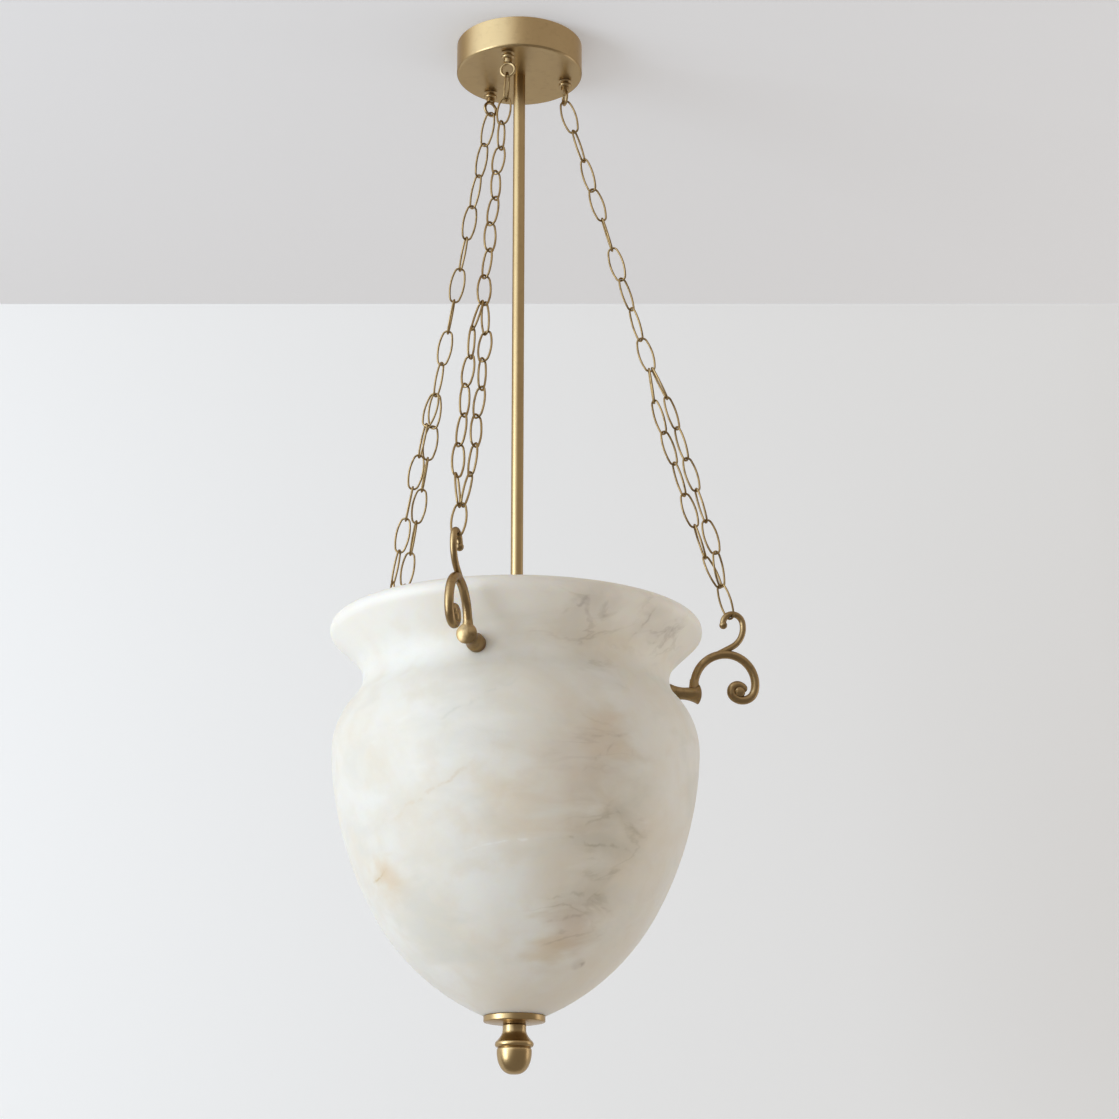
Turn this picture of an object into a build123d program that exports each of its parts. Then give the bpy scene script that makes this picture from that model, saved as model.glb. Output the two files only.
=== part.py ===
from build123d import *

import os
from math import acos, asin, atan2, cos, degrees, radians, sin, sqrt, tan

# Alabaster pendant light, in millimetres, +Z up.
# The origin is the middle of the ceiling face: the canopy touches the ceiling at Z = 0 and everything
# else hangs below it. A stone urn hangs on three chains, and the stem in the middle carries the lamps.
# Each chain, eye and scroll hook is made in the X-Z plane, with X pointing away from the stem, and is
# then turned about Z to its place.

# Places of the three chains around the stem, in degrees from +X
CHAIN_AZIMUTHS = {"right": 15.0, "left": 129.0, "front": 257.0}

# Clearances
thread_clearance = 0.1       # radial, between a threaded rod and what it screws into
hole_clearance = 0.4         # radial, between a rod and a plain hole
seat_clearance = 0.1         # between a cast foot and the stone it is bedded on
link_gap = 0.35              # between two wires that hang in each other

# Canopy
canopy_radius = 65.5
canopy_height = 33.5
canopy_wall = 1.6
canopy_inner_corner = 1.0    # the outside corner is larger by the wall

# Steel bar on the ceiling box
bar_end = 5.05               # from a slot's end to the bar's end
bar_width = 24.0
bar_thickness = 3.0
bar_slot_spacing = 88.9
bar_slot_length = 13.0
bar_slot_width = 5.2

# Threaded nipple that carries the canopy and the stem
nipple_radius = 5.0
nipple_bore = 3.2
nipple_engagement = 15.0
nipple_nut_flats = 14.0
nipple_nut_height = 5.0
nipple_washer_radius = 11.0
nipple_washer_thickness = 1.2

# Stem
stem_radius = 6.1
stem_length = 690.0

# Eyes under the canopy
eye_inset = 16.0             # from the canopy's outside to the middle of an eye
eye_shank_radius = 3.0
eye_collar_radius = 6.8
eye_flange_height = 2.1
eye_bead_height = 4.3
eye_neck_radius = 4.3
eye_neck_height = 4.0
eye_ring_radius = 7.2        # centre line of the ring
eye_wire_radius = 1.55
eye_nut_flats = 10.0
eye_nut_height = 5.0
eye_washer_radius = 7.0
eye_washer_thickness = 1.0

# Chain links: ovals of round wire
link_wire_radius = 1.05
link_inner_length = 34.3
link_outer_width = 16.4
link_end_radius = 5.2        # centre line of the wire at the ends
single_links = 9             # links of the upper, single run
strand_links = 7             # links of each strand of the lower, doubled run
strand_spread = 6.8          # from the chain's centre line to the middle of a strand
strand_play = 0.75           # half the gap between the strands where both hang in one link
strand_slant = 40.0          # turn of a strand's links to either side of square
strand_twist = 50.0          # turn of the two strands about each other over their length

# Turn of the chains about their own line: first link, then the plane of the two strands at their top
FIRST_LINK_TURN = {"right": -20.0, "left": 20.0, "front": 0.0}
STRAND_TURN = {"right": -12.0, "left": 120.0, "front": -45.0}
SINGLE_RUN_HALF_TURNS = {"right": 3, "left": 3, "front": 4}

# Scroll hooks
arm_wire_radius = 4.2
hook_wire_radius = 3.1
hook_ball_radius = 4.0
arm_root_radius = 6.0
arm_root_height = 15.0
boss_foot_radius = 8.6
boss_waist_radius = 6.2
boss_end_radius = 9.7
boss_length = 40.0
boss_foot_length = 8.0
boss_waist_reach = 18.0
boss_dome = 3.0
bed_half_angle = 45.0        # of the neck's arc that the boss is bedded on
arm_offset = 33.0            # from the neck to the arm's foot
arm_arc_radius = 35.5
arm_arc_height = 7.5         # centre of the arm's arc above the boss
volute_arc_radii = (28.5, 14.0, 7.0)
VOLUTE_TURNS = (-14.0, -125.0, -325.0)
cane_reach = 74.8            # from the neck to the middle of the hook's bend
cane_height = 74.9           # from the boss to the middle of the hook's bend
cane_radius = 10.3
cane_sweep_radius = 24.5
cane_join_angle = 11.0       # where the sweep runs into the bend
cane_tip_angle = 190.0

# Fixings of the scroll hooks
stud_radius = 3.0
stud_depth = 16.0            # screwed into the boss
hook_nut_flats = 10.0
hook_nut_height = 5.0
hook_washer_radius = 9.0
hook_washer_thickness = 1.4
hook_pad_thickness = 2.0
stud_tail = 2.0

# Alabaster urn: outside radii, arcs of the profile, and heights measured from the neck
neck_radius = 148.4
neck_arc_radius = 30.0
shoulder_arc_radius = 75.0
belly_radius = 177.0
belly_drop = 60.0
belly_arc_radius = 339.3
lower_arc_radius = 219.2
lower_arc_drop = 226.0       # from the neck to where the lower arc starts
base_margin = 0.4            # stone around the finial's disc
lip_radius = 181.0
lip_rise = 48.0
lip_edge_radius = 9.5
bowl_wall = 10.0
bowl_floor = 15.0

# Finial and its rod
plate_radius = 29.0
plate_edge = 6.0
plate_dome = 2.2
plate_fillet = 1.2
rod_radius = 4.0
rod_nut_flats = 13.0
rod_nut_height = 6.5
rod_washer_radius = 15.0
rod_washer_thickness = 2.0
gasket_thickness = 2.0
rod_tail = 3.0
rod_in_finial = 24.0
finial_neck_radius = 11.0
finial_neck_height = 9.0
finial_cove_height = 4.5
finial_ring_radius = 17.2
finial_ring_height = 6.8
finial_ring_bulge = 1.7
finial_groove = 1.2
acorn_radius = 16.4
acorn_height = 24.0
acorn_taper = 3.4            # the round nose is smaller by this

# Lamp cluster at the foot of the stem
cluster_radius = 19.0
cluster_height = 28.0
cluster_chamfer = 9.3
cluster_fillet = 3.5
cluster_cap_height = 4.0
cluster_cap_fillet = 2.4
cluster_cap_stud_radius = 3.0
cluster_cap_stud_length = 6.0
LAMP_AZIMUTHS = (75.0, 195.0, 315.0)
lamp_dip = 55.0              # lamp axis below the horizontal
lamp_axis_offset = 8.0       # where the lamp axis leaves the stem's line
outlet_radius = 7.5
outlet_reach = 19.0
holder_radius = 13.0
holder_skirt = 6.65          # from the lamp's cap to the holder's mouth
holder_floor = 6.0
holder_fillet = 2.0
cap_radius = 7.0
cap_length = 25.0
cap_fillet = 1.75
cap_play = 0.35
bulb_radius = 20.0
bulb_neck_step = 0.4         # the glass neck is thinner than the cap by this
bulb_neck_arc = 12.6


def flat(r, z):
    """Point of a profile: distance from the stem's line, height."""
    return Vector(r, z)


def polar(centre, radius, angle):
    return centre + Vector(cos(radians(angle)), sin(radians(angle))) * radius


def bearing(start, end):
    return degrees(atan2(end.Y - start.Y, end.X - start.X))


def circles_meet(centre_a, reach_a, centre_b, reach_b, side):
    """Point at given distances from two centres; side is 1 left or -1 right of the way from a to b."""
    way = centre_b - centre_a
    span = way.length
    along = (reach_a**2 - reach_b**2 + span**2) / (2 * span)
    across = sqrt(reach_a**2 - along**2)
    unit = way.normalized()
    return centre_a + unit * along + Vector(-unit.Y, unit.X) * across * side


def arc(centre, radius, start, end):
    """Arc between two bearings in degrees, anticlockwise if end is larger."""
    return CenterArc((centre.X, centre.Y), radius, start, end - start)


def turned(outline):
    """Solid of revolution about Z of a closed outline drawn as (radius, height)."""
    return revolve(Plane.XZ * make_face(outline), Axis.Z)


def tube(outer, inner, bottom, top):
    ring = Circle(outer) - Circle(inner)
    return Pos(0, 0, bottom) * extrude(ring, top - bottom)


def rod(radius, bottom, top):
    return Pos(0, 0, bottom) * extrude(Circle(radius), top - bottom)


def hex_nut(flats, bore, bottom, height):
    section = RegularPolygon(flats / 2, 6, major_radius=False) - Circle(bore)
    return Pos(0, 0, bottom) * extrude(section, height)


def wire_along(path, radius):
    """Round wire along lines and arcs that run into each other."""
    pieces = []
    for edge in path:
        section = Plane(edge @ 0, z_dir=edge % 0) * Circle(radius)
        if edge.geom_type == GeomType.LINE:
            pieces.append(extrude(section, edge.length))
        else:
            spoke = (edge @ 0) - edge.arc_center
            bend_axis = Axis(edge.arc_center, spoke.cross(edge % 0))
            pieces.append(revolve(section, bend_axis, degrees(edge.length / edge.radius)))
    return Part() + pieces


def around(azimuth, solid):
    return Rot(0, 0, azimuth) * solid


def save(name, *solids):
    shape = solids[0] if len(solids) == 1 else Compound(children=list(solids))
    export_step(shape, f"parts/{name}.step")


os.makedirs("parts", exist_ok=True)

# Canopy: a spun cup, open towards the ceiling, with holes for the nipple and the eyes
canopy_floor = -canopy_height + canopy_wall
eye_circle_radius = canopy_radius - eye_inset
outside = rod(canopy_radius, -canopy_height, 0)
outside = fillet(outside.edges().group_by(Axis.Z)[0], canopy_inner_corner + canopy_wall)
inside = rod(canopy_radius - canopy_wall, canopy_floor, 0)
inside = fillet(inside.edges().group_by(Axis.Z)[0], canopy_inner_corner)
canopy = outside - inside - rod(nipple_radius + hole_clearance, -canopy_height, canopy_floor)
for azimuth in CHAIN_AZIMUTHS.values():
    eye_hole = rod(eye_shank_radius + hole_clearance, -canopy_height, canopy_floor)
    canopy -= around(azimuth, Pos(eye_circle_radius, 0, 0) * eye_hole)
save("canopy", canopy)

# Bar for the ceiling box: a slot at each end, and a threaded hole for the nipple
bar_length = bar_slot_spacing + bar_slot_length + 2 * bar_end
bar = Rectangle(bar_length, bar_width) - Circle(nipple_radius + thread_clearance)
for side in (-1, 1):
    bar -= Pos(side * bar_slot_spacing / 2, 0) * SlotOverall(bar_slot_length, bar_slot_width)
mounting_bar = Pos(0, 0, -bar_thickness) * extrude(bar, bar_thickness)
save("mounting_bar", mounting_bar)

# Nipple from the bar through the canopy's floor into the stem, with its nuts and washer
nipple_hole = nipple_radius + thread_clearance
save("stem_nipple", tube(nipple_radius, nipple_bore, -canopy_height - nipple_engagement, 0))
save("bar_nut", hex_nut(nipple_nut_flats, nipple_hole, -bar_thickness - nipple_nut_height, nipple_nut_height))
washer_top = canopy_floor + nipple_washer_thickness
save("canopy_washer", tube(nipple_washer_radius, nipple_hole, canopy_floor, washer_top))
save("canopy_nut", hex_nut(nipple_nut_flats, nipple_hole, washer_top, nipple_nut_height))

# Stem: a plain tube, threaded inside at both ends
stem_top = -canopy_height
stem_bottom = stem_top - stem_length
save("stem", tube(stem_radius, nipple_hole, stem_bottom, stem_top))

# Eyes: a shank through the canopy, a turned collar with a bead, a neck and a closed ring
bead_top = -canopy_height - eye_flange_height
collar_bottom = bead_top - eye_bead_height
neck_bottom = collar_bottom - eye_neck_height
ring_level = neck_bottom - eye_ring_radius - eye_wire_radius / 2
shank_top = canopy_floor + eye_washer_thickness + eye_nut_height + eye_washer_thickness
eye_outline = [
    Line((0, ring_level + eye_ring_radius), (eye_neck_radius, neck_bottom)),
    Line((eye_neck_radius, neck_bottom), (eye_neck_radius, collar_bottom)),
    ThreePointArc(
        (eye_neck_radius, collar_bottom),
        (eye_collar_radius, (collar_bottom + bead_top) / 2),
        (eye_neck_radius, bead_top),
    ),
    Line((eye_neck_radius, bead_top), (eye_collar_radius, -canopy_height)),
    Line((eye_collar_radius, -canopy_height), (eye_shank_radius, -canopy_height)),
    Line((eye_shank_radius, -canopy_height), (eye_shank_radius, shank_top)),
    Line((eye_shank_radius, shank_top), (0, shank_top)),
    Line((0, shank_top), (0, ring_level + eye_ring_radius)),
]
eye_ring = Pos(0, 0, ring_level) * Rot(0, 90, 0) * Torus(eye_ring_radius, eye_wire_radius)
eye = Pos(eye_circle_radius, 0, 0) * (turned(eye_outline) + eye_ring)
eye_hole_radius = eye_shank_radius + thread_clearance
eye_washer_top = canopy_floor + eye_washer_thickness
eye_washer = tube(eye_washer_radius, eye_hole_radius, canopy_floor, eye_washer_top)
eye_nut = hex_nut(eye_nut_flats, eye_hole_radius, eye_washer_top, eye_nut_height)
eye_washers = []
eye_nuts = []
for name, azimuth in CHAIN_AZIMUTHS.items():
    save(f"eye_{name}", around(azimuth, eye))
    eye_washers.append(around(azimuth, Pos(eye_circle_radius, 0, 0) * eye_washer))
    eye_nuts.append(around(azimuth, Pos(eye_circle_radius, 0, 0) * eye_nut))
save("eye_washers", *eye_washers)
save("eye_nuts", *eye_nuts)

# Chain geometry: the step of the links, the length of the doubled run, and so the urn's height
half_contact = link_wire_radius + link_gap / 2
link_step = link_inner_length - link_gap
node_radius = link_end_radius - half_contact
strand_pinch = link_wire_radius + strand_play
pinch_angle = asin(strand_pinch / node_radius)
pinch_rise = node_radius * (1 - cos(pinch_angle))
twist_step = strand_twist / strand_links


def strand_step(offset, next_offset):
    """Length along the chain of a strand's link whose ends lie this far from the chain's line."""
    shift = offset**2 + next_offset**2 - 2 * offset * next_offset * cos(radians(twist_step))
    return sqrt(link_step**2 - shift)


flare_step = strand_step(strand_pinch, strand_spread)
inner_step = strand_step(strand_spread, strand_spread)
strand_span = 2 * flare_step + (strand_links - 2) * inner_step - 2 * pinch_rise
chain_span = (single_links + 1) * link_step + strand_span
chain_length = chain_span - eye_wire_radius - hook_wire_radius - link_gap
top_pivot = flat(eye_circle_radius, ring_level - eye_ring_radius)
cane_centre_reach = neck_radius + cane_reach
chain_angle = asin((cane_centre_reach - top_pivot.X) / (chain_length + cane_radius))
cane_level = top_pivot.Y - (chain_length + cane_radius) * cos(chain_angle)
neck_level = cane_level - cane_height
chain_way = Vector(sin(chain_angle), 0, -cos(chain_angle))
chain_side = Vector(cos(chain_angle), 0, sin(chain_angle))
chain_start = Vector(top_pivot.X, 0, top_pivot.Y) - chain_way * (eye_wire_radius + link_gap / 2)

# One link: an oval of round wire, with two bowed sides and two round ends
link_half_width = link_outer_width / 2 - link_wire_radius
link_end_height = link_inner_length / 2 + link_wire_radius - link_end_radius
side_bow = link_half_width**2 + link_end_height**2 - link_end_radius**2
link_side_radius = side_bow / (2 * (link_half_width - link_end_radius))
link_side_offset = link_side_radius - link_half_width
link_corner = degrees(atan2(link_end_height, link_side_offset))
link_outline = [
    arc(flat(-link_side_offset, 0), link_side_radius, -link_corner, link_corner),
    arc(flat(0, link_end_height), link_end_radius, link_corner, 180 - link_corner),
    arc(flat(link_side_offset, 0), link_side_radius, 180 - link_corner, 180 + link_corner),
    arc(flat(0, -link_end_height), link_end_radius, 180 + link_corner, 360 - link_corner),
]
oval_link = wire_along([Plane.XZ * edge for edge in link_outline], link_wire_radius)


def chain_line(distance):
    return chain_start + chain_way * distance


def chain_across(turn):
    """Direction square to the chain's line, turned about it."""
    return chain_side * cos(radians(turn)) + Vector(0, 1, 0) * sin(radians(turn))


def placed_link(start, end, turn):
    """A link between two contact points, turned about the chain's line."""
    way = (end - start).normalized()
    width = chain_across(turn)
    width -= way * width.dot(way)
    return Plane((start + end) * 0.5, x_dir=width, z_dir=way * -1) * oval_link


def single_run(name):
    first = FIRST_LINK_TURN[name]
    last = STRAND_TURN[name] + 180 * SINGLE_RUN_HALF_TURNS[name]
    links = []
    for index in range(single_links):
        turn = first + (last - first) * index / (single_links - 1)
        links.append(placed_link(chain_line(index * link_step), chain_line((index + 1) * link_step), turn))
    return links


def strand_turn(index, side):
    """Turn of a strand's link out of the plane of both strands: square at its ends, slanted between."""
    if index in (0, strand_links - 1):
        return 90.0
    return 90.0 + strand_slant * side * (-1) ** index


def strand_lean(name, position):
    """Turn of the plane of both strands, counted in links from their upper end."""
    return STRAND_TURN[name] - twist_step * position


def strand(name, side):
    """The links of one strand, side 1 or -1, from the last single link to the bottom link."""
    distance = single_links * link_step - pinch_rise
    point = chain_line(distance) + chain_across(strand_lean(name, 0)) * strand_pinch * side
    links = []
    for index in range(strand_links):
        at_end = index in (0, strand_links - 1)
        distance += flare_step if at_end else inner_step
        offset = strand_pinch if index == strand_links - 1 else strand_spread
        following = chain_line(distance) + chain_across(strand_lean(name, index + 1)) * offset * side
        links.append(placed_link(point, following, strand_lean(name, index + 0.5) + strand_turn(index, side)))
        point = following
    return links


for name, azimuth in CHAIN_AZIMUTHS.items():
    upper = single_run(name)
    last_turn = strand_lean(name, strand_links)
    hook_link = placed_link(chain_line(chain_span - link_step), chain_line(chain_span), last_turn)
    save(f"top_link_{name}", around(azimuth, upper[0]))
    save(f"chain_{name}", *[around(azimuth, link) for link in upper[1:]])
    save(f"strand_a_{name}", *[around(azimuth, link) for link in strand(name, 1)])
    save(f"strand_b_{name}", *[around(azimuth, link) for link in strand(name, -1)])
    save(f"hook_link_{name}", around(azimuth, hook_link))

# Urn profile: arcs that run into each other, from the foot up to the rolled lip
neck_centre = flat(neck_radius + neck_arc_radius, neck_level)
belly_centre = flat(belly_radius - belly_arc_radius, neck_level - belly_drop)
shoulder_centre = circles_meet(
    neck_centre,
    neck_arc_radius + shoulder_arc_radius,
    belly_centre,
    belly_arc_radius - shoulder_arc_radius,
    1,
)
lower_angle = -degrees(asin((lower_arc_drop - belly_drop) / belly_arc_radius))
lower_centre = polar(belly_centre, belly_arc_radius - lower_arc_radius, lower_angle)
lip_centre = flat(lip_radius - lip_edge_radius, neck_level + lip_rise)
shoulder_angle = bearing(belly_centre, shoulder_centre)
neck_angle = bearing(shoulder_centre, neck_centre)
lip_way = lip_centre - neck_centre
lip_bearing = bearing(neck_centre, lip_centre)
flare_outside = lip_bearing + degrees(acos((neck_arc_radius + lip_edge_radius) / lip_way.length))
flare_inside = lip_bearing + degrees(acos((neck_arc_radius + bowl_wall - lip_edge_radius) / lip_way.length))


def lower_arc_angle(radius, reach):
    """Bearing on the lower arc at a distance from the stem's line."""
    return -degrees(acos((reach - lower_centre.X) / radius))


def side_arcs(inward, start_angle, flare_angle):
    """Foot, belly, shoulder and neck arcs of the wall, moved inward, from the foot upwards."""
    return [
        arc(lower_centre, lower_arc_radius - inward, start_angle, lower_angle),
        arc(belly_centre, belly_arc_radius - inward, lower_angle, shoulder_angle),
        arc(shoulder_centre, shoulder_arc_radius - inward, shoulder_angle, neck_angle),
        arc(neck_centre, neck_arc_radius + inward, neck_angle + 180, flare_angle),
    ]


base_radius = plate_radius + base_margin
base_angle = lower_arc_angle(lower_arc_radius, base_radius)
base_level = polar(lower_centre, lower_arc_radius, base_angle).Y
floor_level = base_level + bowl_floor
inner_arc_radius = lower_arc_radius - bowl_wall
floor_angle = degrees(asin((floor_level - lower_centre.Y) / inner_arc_radius))
floor_radius = polar(lower_centre, inner_arc_radius, floor_angle).X
rod_hole = rod_radius + hole_clearance
flare_in = polar(neck_centre, neck_arc_radius + bowl_wall, flare_inside)
lip_in = polar(lip_centre, lip_edge_radius, flare_inside)
flare_out = polar(neck_centre, neck_arc_radius, flare_outside)
lip_out = polar(lip_centre, lip_edge_radius, flare_outside + 180)
bowl_outline = side_arcs(0, base_angle, flare_outside)
bowl_outline.append(Line(flare_out, lip_out))
bowl_outline.append(arc(lip_centre, lip_edge_radius, flare_outside - 180, flare_inside))
bowl_outline.append(Line(lip_in, flare_in))
bowl_outline += side_arcs(bowl_wall, floor_angle, flare_inside)
bowl_outline.append(Line((floor_radius, floor_level), (rod_hole, floor_level)))
bowl_outline.append(Line((rod_hole, floor_level), (rod_hole, base_level)))
bowl_outline.append(Line((rod_hole, base_level), (base_radius, base_level)))
bowl = turned(bowl_outline)
stud_hole = Pos(0, 0, neck_level) * Rot(0, 90, 0) * rod(stud_radius + hole_clearance, 0, lip_radius)
for azimuth in CHAIN_AZIMUTHS.values():
    bowl -= around(azimuth, stud_hole)
save("bowl", bowl)

# Scroll hook: boss, arm that rolls into a volute, and a hook that leaves the arm and bends over
arm_reach = neck_radius + arm_offset
arm_centre = flat(arm_reach + arm_arc_radius, neck_level + arm_arc_height)
cane_centre = flat(cane_centre_reach, cane_level)
sweep_centre = polar(cane_centre, cane_sweep_radius - cane_radius, cane_join_angle + 180)
leave_way = sweep_centre - arm_centre
leave_angle = bearing(arm_centre, sweep_centre) + degrees(
    acos((arm_arc_radius + cane_sweep_radius) / leave_way.length)
)
volute_centres = [flat(arm_centre.X, arm_centre.Y + arm_arc_radius - volute_arc_radii[0])]
volute_starts = [90.0, VOLUTE_TURNS[0], VOLUTE_TURNS[1]]
for index in (1, 2):
    shrink = volute_arc_radii[index - 1] - volute_arc_radii[index]
    volute_centres.append(polar(volute_centres[-1], shrink, VOLUTE_TURNS[index - 1]))
arm_path = [
    Line((arm_reach, neck_level), (arm_reach, arm_centre.Y)),
    arc(arm_centre, arm_arc_radius, 180, 90),
]
for centre, radius, start, end in zip(volute_centres, volute_arc_radii, volute_starts, VOLUTE_TURNS):
    arm_path.append(arc(centre, radius, start, end))
volute_end = polar(volute_centres[2], volute_arc_radii[2], VOLUTE_TURNS[2])
sweep_start = polar(sweep_centre, cane_sweep_radius, leave_angle - 180)
hook_path = [
    Line(polar(arm_centre, arm_arc_radius, leave_angle), sweep_start),
    arc(sweep_centre, cane_sweep_radius, leave_angle - 180, cane_join_angle),
    arc(cane_centre, cane_radius, cane_join_angle, cane_tip_angle),
]
cane_tip = polar(cane_centre, cane_radius, cane_tip_angle)
boss_end = neck_radius + boss_length
boss_bed = neck_radius - seat_clearance
boss_waist = neck_radius + boss_waist_reach
boss_flare_end = boss_end - boss_dome
boss_dome_radius = (boss_end_radius**2 + boss_dome**2) / (2 * boss_dome)
boss_dome_angle = degrees(asin(boss_end_radius / boss_dome_radius))
boss_outline = [
    Line((boss_bed, 0), (boss_bed, boss_foot_radius)),
    Line((boss_bed, boss_foot_radius), (neck_radius + boss_foot_length, boss_foot_radius)),
    ThreePointArc(
        (neck_radius + boss_foot_length, boss_foot_radius),
        (boss_waist, boss_waist_radius),
        (boss_flare_end, boss_end_radius),
    ),
    arc(flat(boss_end - boss_dome_radius, 0), boss_dome_radius, boss_dome_angle, 0),
    Line((boss_end, 0), (boss_bed, 0)),
]
boss = Pos(0, 0, neck_level) * revolve(Plane.XZ * make_face(boss_outline), Axis.X)
bed_radius = neck_arc_radius - seat_clearance
neck_top = polar(neck_centre, bed_radius, 180 - bed_half_angle)
neck_foot = polar(neck_centre, bed_radius, 180 + bed_half_angle)
neck_core = turned(
    [
        arc(neck_centre, bed_radius, 180 + bed_half_angle, 180 - bed_half_angle),
        Line(neck_top, (0, neck_top.Y)),
        Line((0, neck_top.Y), (0, neck_foot.Y)),
        Line((0, neck_foot.Y), neck_foot),
    ]
)
arm_root = Cone(arm_root_radius, arm_wire_radius, arm_root_height)
arm_root = Pos(arm_reach, 0, neck_level + arm_root_height / 2) * arm_root
arm = wire_along([Plane.XZ * edge for edge in arm_path], arm_wire_radius)
arm += Pos(volute_end.X, 0, volute_end.Y) * Sphere(arm_wire_radius)
cane = wire_along([Plane.XZ * edge for edge in hook_path], hook_wire_radius)
cane += Pos(cane_tip.X, 0, cane_tip.Y) * Sphere(hook_ball_radius)
scroll_hook = (boss + arm_root) + arm + cane
scroll_hook -= neck_core
stud_bore = Rot(0, 90, 0) * rod(stud_radius + thread_clearance, 0, neck_radius + stud_depth)
scroll_hook -= Pos(0, 0, neck_level) * stud_bore

# Fixings inside the neck: rubber pad, washer and nut on a stud, laid out along X from the wall inwards
wall_inside = neck_radius - bowl_wall
pad_face = sqrt(wall_inside**2 - hook_washer_radius**2) - seat_clearance
washer_face = pad_face - hook_pad_thickness
nut_face = washer_face - hook_washer_thickness
stud_end = nut_face - hook_nut_height - stud_tail
along_x = Pos(0, 0, neck_level) * Rot(0, 90, 0)
stud_bore_radius = stud_radius + thread_clearance
hook_stud = along_x * rod(stud_radius, stud_end, neck_radius + stud_depth)
hook_pad = along_x * tube(hook_washer_radius, stud_bore_radius, washer_face, pad_face)
hook_washer = along_x * tube(hook_washer_radius, stud_bore_radius, nut_face, washer_face)
hook_nut = along_x * hex_nut(hook_nut_flats, stud_bore_radius, nut_face - hook_nut_height, hook_nut_height)
for name, azimuth in CHAIN_AZIMUTHS.items():
    save(f"hook_{name}", around(azimuth, scroll_hook))
for name, solid in (
    ("hook_studs", hook_stud),
    ("hook_pads", hook_pad),
    ("hook_washers", hook_washer),
    ("hook_nuts", hook_nut),
):
    save(name, *[around(azimuth, solid) for azimuth in CHAIN_AZIMUTHS.values()])

# Finial: a disc under the urn, a rod through the floor, and an acorn that screws onto the rod
plate_edge_level = base_level - plate_edge
plate_bottom = plate_edge_level - plate_dome
rod_bore = rod_radius + thread_clearance
plate_outline = [
    Line((rod_bore, base_level), (plate_radius, base_level)),
    Line((plate_radius, base_level), (plate_radius, plate_edge_level)),
    TangentArc((finial_neck_radius, plate_bottom), (plate_radius, plate_edge_level), tangent=(1, 0)),
    Line((finial_neck_radius, plate_bottom), (rod_bore, plate_bottom)),
    Line((rod_bore, plate_bottom), (rod_bore, base_level)),
]
finial_plate = turned(plate_outline)
plate_rim = finial_plate.edges().group_by(SortBy.LENGTH)[-1]
save("finial_plate", fillet(plate_rim, plate_fillet))

gasket_top = floor_level + gasket_thickness
rod_washer_top = gasket_top + rod_washer_thickness
rod_nut_top = rod_washer_top + rod_nut_height
save("rod_gasket", tube(rod_washer_radius, rod_bore, floor_level, gasket_top))
save("rod_washer", tube(rod_washer_radius, rod_bore, gasket_top, rod_washer_top))
save("rod_nut", hex_nut(rod_nut_flats, rod_bore, rod_washer_top, rod_nut_height))
save("finial_rod", rod(rod_radius, plate_bottom - rod_in_finial, rod_nut_top + rod_tail))

finial_top = plate_bottom - seat_clearance
neck_end = finial_top - finial_neck_height
cove_end = neck_end - finial_cove_height
ring_end = cove_end - finial_ring_height
acorn_top = ring_end - finial_groove
acorn_tip = acorn_top - acorn_height
acorn_nose_radius = acorn_radius - acorn_taper
acorn_nose_centre = flat(0, acorn_tip + acorn_nose_radius)
acorn_rise = acorn_radius**2 + acorn_height**2 - 2 * acorn_height * acorn_nose_radius
acorn_side_radius = acorn_rise / (2 * acorn_taper)
acorn_side_centre = flat(acorn_radius - acorn_side_radius, acorn_top)
acorn_nose_start = bearing(acorn_side_centre, acorn_nose_centre)
finial_bore_end = plate_bottom - rod_in_finial - thread_clearance
ring_rim = finial_ring_radius - finial_ring_bulge
ring_middle = (cove_end + ring_end) / 2
finial_outline = [
    Line((rod_bore, finial_top), (finial_neck_radius, finial_top)),
    Line((finial_neck_radius, finial_top), (finial_neck_radius, neck_end)),
    TangentArc((finial_neck_radius, neck_end), (ring_rim, cove_end), tangent=(0, -1)),
    ThreePointArc((ring_rim, cove_end), (finial_ring_radius, ring_middle), (ring_rim, ring_end)),
    Line((ring_rim, ring_end), (acorn_radius - finial_groove, ring_end)),
    Line((acorn_radius - finial_groove, ring_end), (acorn_radius - finial_groove, acorn_top)),
    Line((acorn_radius - finial_groove, acorn_top), (acorn_radius, acorn_top)),
    arc(acorn_side_centre, acorn_side_radius, 0, acorn_nose_start),
    arc(acorn_nose_centre, acorn_nose_radius, acorn_nose_start, -90),
    Line((0, acorn_tip), (0, finial_bore_end)),
    Line((0, finial_bore_end), (rod_bore, finial_bore_end)),
    Line((rod_bore, finial_bore_end), (rod_bore, finial_top)),
]
save("finial", turned(finial_outline))

# Lamp cluster: a turned body on the stem's foot with three slanted outlets, closed by a cap below
cluster_bottom = stem_bottom - cluster_height
lamp_level = stem_bottom - cluster_height / 2
outlet = Pos(lamp_axis_offset, 0, lamp_level) * Rot(0, 90 + lamp_dip, 0)
cluster_body = rod(cluster_radius, cluster_bottom, stem_bottom)
cluster_body = chamfer(cluster_body.edges().group_by(Axis.Z)[0], cluster_chamfer)
cluster_body = fillet(cluster_body.edges().group_by(Axis.Z)[-1], cluster_fillet)
for azimuth in LAMP_AZIMUTHS:
    cluster_body += around(azimuth, outlet * rod(outlet_radius, 0, outlet_reach))
cluster_body -= rod(nipple_hole, stem_bottom - nipple_engagement, stem_bottom)
cap_stud_top = cluster_bottom + cluster_cap_stud_length
cluster_body -= rod(cluster_cap_stud_radius + thread_clearance, cluster_bottom, cap_stud_top)
save("cluster_body", cluster_body)
save(
    "cluster_nipple",
    tube(nipple_radius, nipple_bore, stem_bottom - nipple_engagement, stem_bottom + nipple_engagement),
)
outlet_edge = flat(lamp_axis_offset, lamp_level) - polar(flat(0, 0), outlet_radius, 90 - lamp_dip)
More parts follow.
